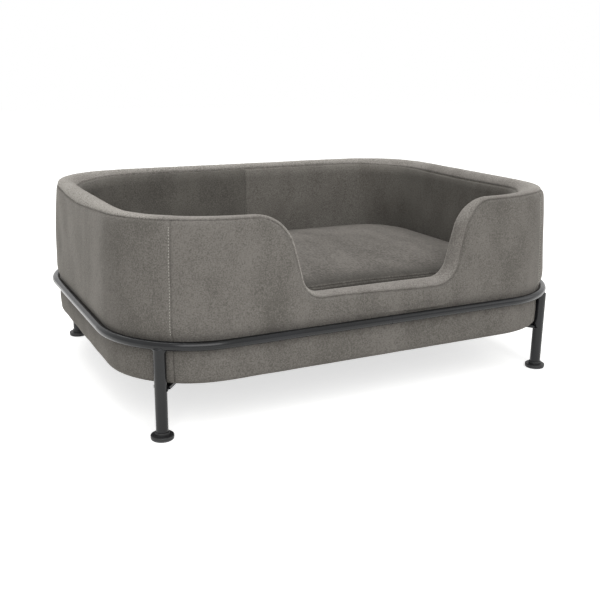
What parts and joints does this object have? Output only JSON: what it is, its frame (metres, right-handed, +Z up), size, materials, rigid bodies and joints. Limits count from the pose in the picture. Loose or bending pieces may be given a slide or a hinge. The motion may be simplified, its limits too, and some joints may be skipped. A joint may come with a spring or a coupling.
{
  "type": "pet bed",
  "caption": "Upholstered rounded tub with a low front entry and a lift-out cushion, belted by a steel ring frame on legs with screw-in levelling feet.",
  "frame": {"origin": "on the floor, under the centre of the tub", "axes": "+X to the right along the tub's length, +Y to the back, +Z up; the entry faces -Y"},
  "size_m": [0.7212, 0.5412, 0.282],
  "materials": {
    "velvet": "short-pile velvet, matt with a soft sheen",
    "frame_paint": "satin black powder coat",
    "foot_plastic": "moulded black nylon",
    "foot_rubber": "dark grey rubber",
    "zinc_steel": "zinc plated steel",
    "plywood": "plain plywood",
    "foam": "polyurethane foam",
    "dust_cloth": "black non-woven cloth",
    "zip_cloth": "woven zip tape",
    "zip_plastic": "nylon coil",
    "zip_metal": "painted die casting"
  },
  "bodies": {
    "tub_and_frame": {"base_board": "plywood", "bracket_back_left": "frame_paint", "bracket_back_right": "frame_paint", "bracket_front_left": "frame_paint", "bracket_front_right": "frame_paint", "deck_cover": "velvet", "dust_cover": "dust_cloth", "dust_cover_staples": "zinc_steel", "frame_ring": "frame_paint", "frame_welds": "frame_paint", "inner_foam": "foam", "inner_left_panel": "velvet", "inner_right_panel": "velvet", "leg_back_left": "frame_paint", "leg_back_right": "frame_paint", "leg_front_left": "frame_paint", "leg_front_right": "frame_paint", "leg_insert_back_left": "zinc_steel", "leg_insert_back_right": "zinc_steel", "leg_insert_front_left": "zinc_steel", "leg_insert_front_right": "zinc_steel", "mounting_screws": "zinc_steel", "mounting_washers": "zinc_steel", "outer_back_panel": "velvet", "outer_foam": "foam", "outer_front_panel": "velvet", "rim_cover": "velvet", "rim_foam": "foam", "tee_nuts": "zinc_steel", "wall_shell": "plywood"},
    "cushion": {"cushion_core": "foam", "cushion_top_panel": "velvet", "cushion_bottom_panel": "velvet", "cushion_border": "velvet", "zip_tape": "zip_cloth", "zip_chain": "zip_plastic"},
    "zip_slider": {"zip_slider": "zip_metal"},
    "foot_front_left": {"foot_base_front_left": "foot_plastic", "foot_pad_front_left": "foot_rubber"},
    "stud_front_left": {"foot_stud_front_left": "zinc_steel"},
    "foot_front_right": {"foot_base_front_right": "foot_plastic", "foot_pad_front_right": "foot_rubber"},
    "stud_front_right": {"foot_stud_front_right": "zinc_steel"},
    "foot_back_left": {"foot_base_back_left": "foot_plastic", "foot_pad_back_left": "foot_rubber"},
    "stud_back_left": {"foot_stud_back_left": "zinc_steel"},
    "foot_back_right": {"foot_base_back_right": "foot_plastic", "foot_pad_back_right": "foot_rubber"},
    "stud_back_right": {"foot_stud_back_right": "zinc_steel"}
  },
  "joints": [
    {"name": "cushion_lift", "type": "slide", "parent": "tub_and_frame", "child": "cushion", "axis": [0, 0, 1], "range_m": [0, 0.22]},
    {"name": "zip_slide", "type": "slide", "parent": "cushion", "child": "zip_slider", "axis": [1, 0, 0], "range_m": [-0.36, 0]},
    {"name": "foot_travel_front_left", "type": "slide", "parent": "tub_and_frame", "child": "foot_front_left", "axis": [0, 0, 1], "range_m": [-0.008, 0]},
    {"name": "stud_turn_front_left", "type": "hinge", "parent": "foot_front_left", "child": "stud_front_left", "pos_m": [-0.3071, -0.23481, 0.01], "axis": [0, 0, 1], "range_deg": [-2305, 0]},
    {"name": "foot_travel_front_right", "type": "slide", "parent": "tub_and_frame", "child": "foot_front_right", "axis": [0, 0, 1], "range_m": [-0.008, 0]},
    {"name": "stud_turn_front_right", "type": "hinge", "parent": "foot_front_right", "child": "stud_front_right", "pos_m": [0.3071, -0.23481, 0.01], "axis": [0, 0, 1], "range_deg": [-2305, 0]},
    {"name": "foot_travel_back_left", "type": "slide", "parent": "tub_and_frame", "child": "foot_back_left", "axis": [0, 0, 1], "range_m": [-0.008, 0]},
    {"name": "stud_turn_back_left", "type": "hinge", "parent": "foot_back_left", "child": "stud_back_left", "pos_m": [-0.3071, 0.23481, 0.01], "axis": [0, 0, 1], "range_deg": [-2305, 0]},
    {"name": "foot_travel_back_right", "type": "slide", "parent": "tub_and_frame", "child": "foot_back_right", "axis": [0, 0, 1], "range_m": [-0.008, 0]},
    {"name": "stud_turn_back_right", "type": "hinge", "parent": "foot_back_right", "child": "stud_back_right", "pos_m": [0.3071, 0.23481, 0.01], "axis": [0, 0, 1], "range_deg": [-2305, 0]}
  ],
  "couplings": [
    {"joint": "stud_turn_front_left", "follows": "foot_travel_front_left", "rad_per_m": 5026.5},
    {"joint": "stud_turn_front_right", "follows": "foot_travel_front_right", "rad_per_m": 5026.5},
    {"joint": "stud_turn_back_left", "follows": "foot_travel_back_left", "rad_per_m": 5026.5},
    {"joint": "stud_turn_back_right", "follows": "foot_travel_back_right", "rad_per_m": 5026.5}
  ]
}
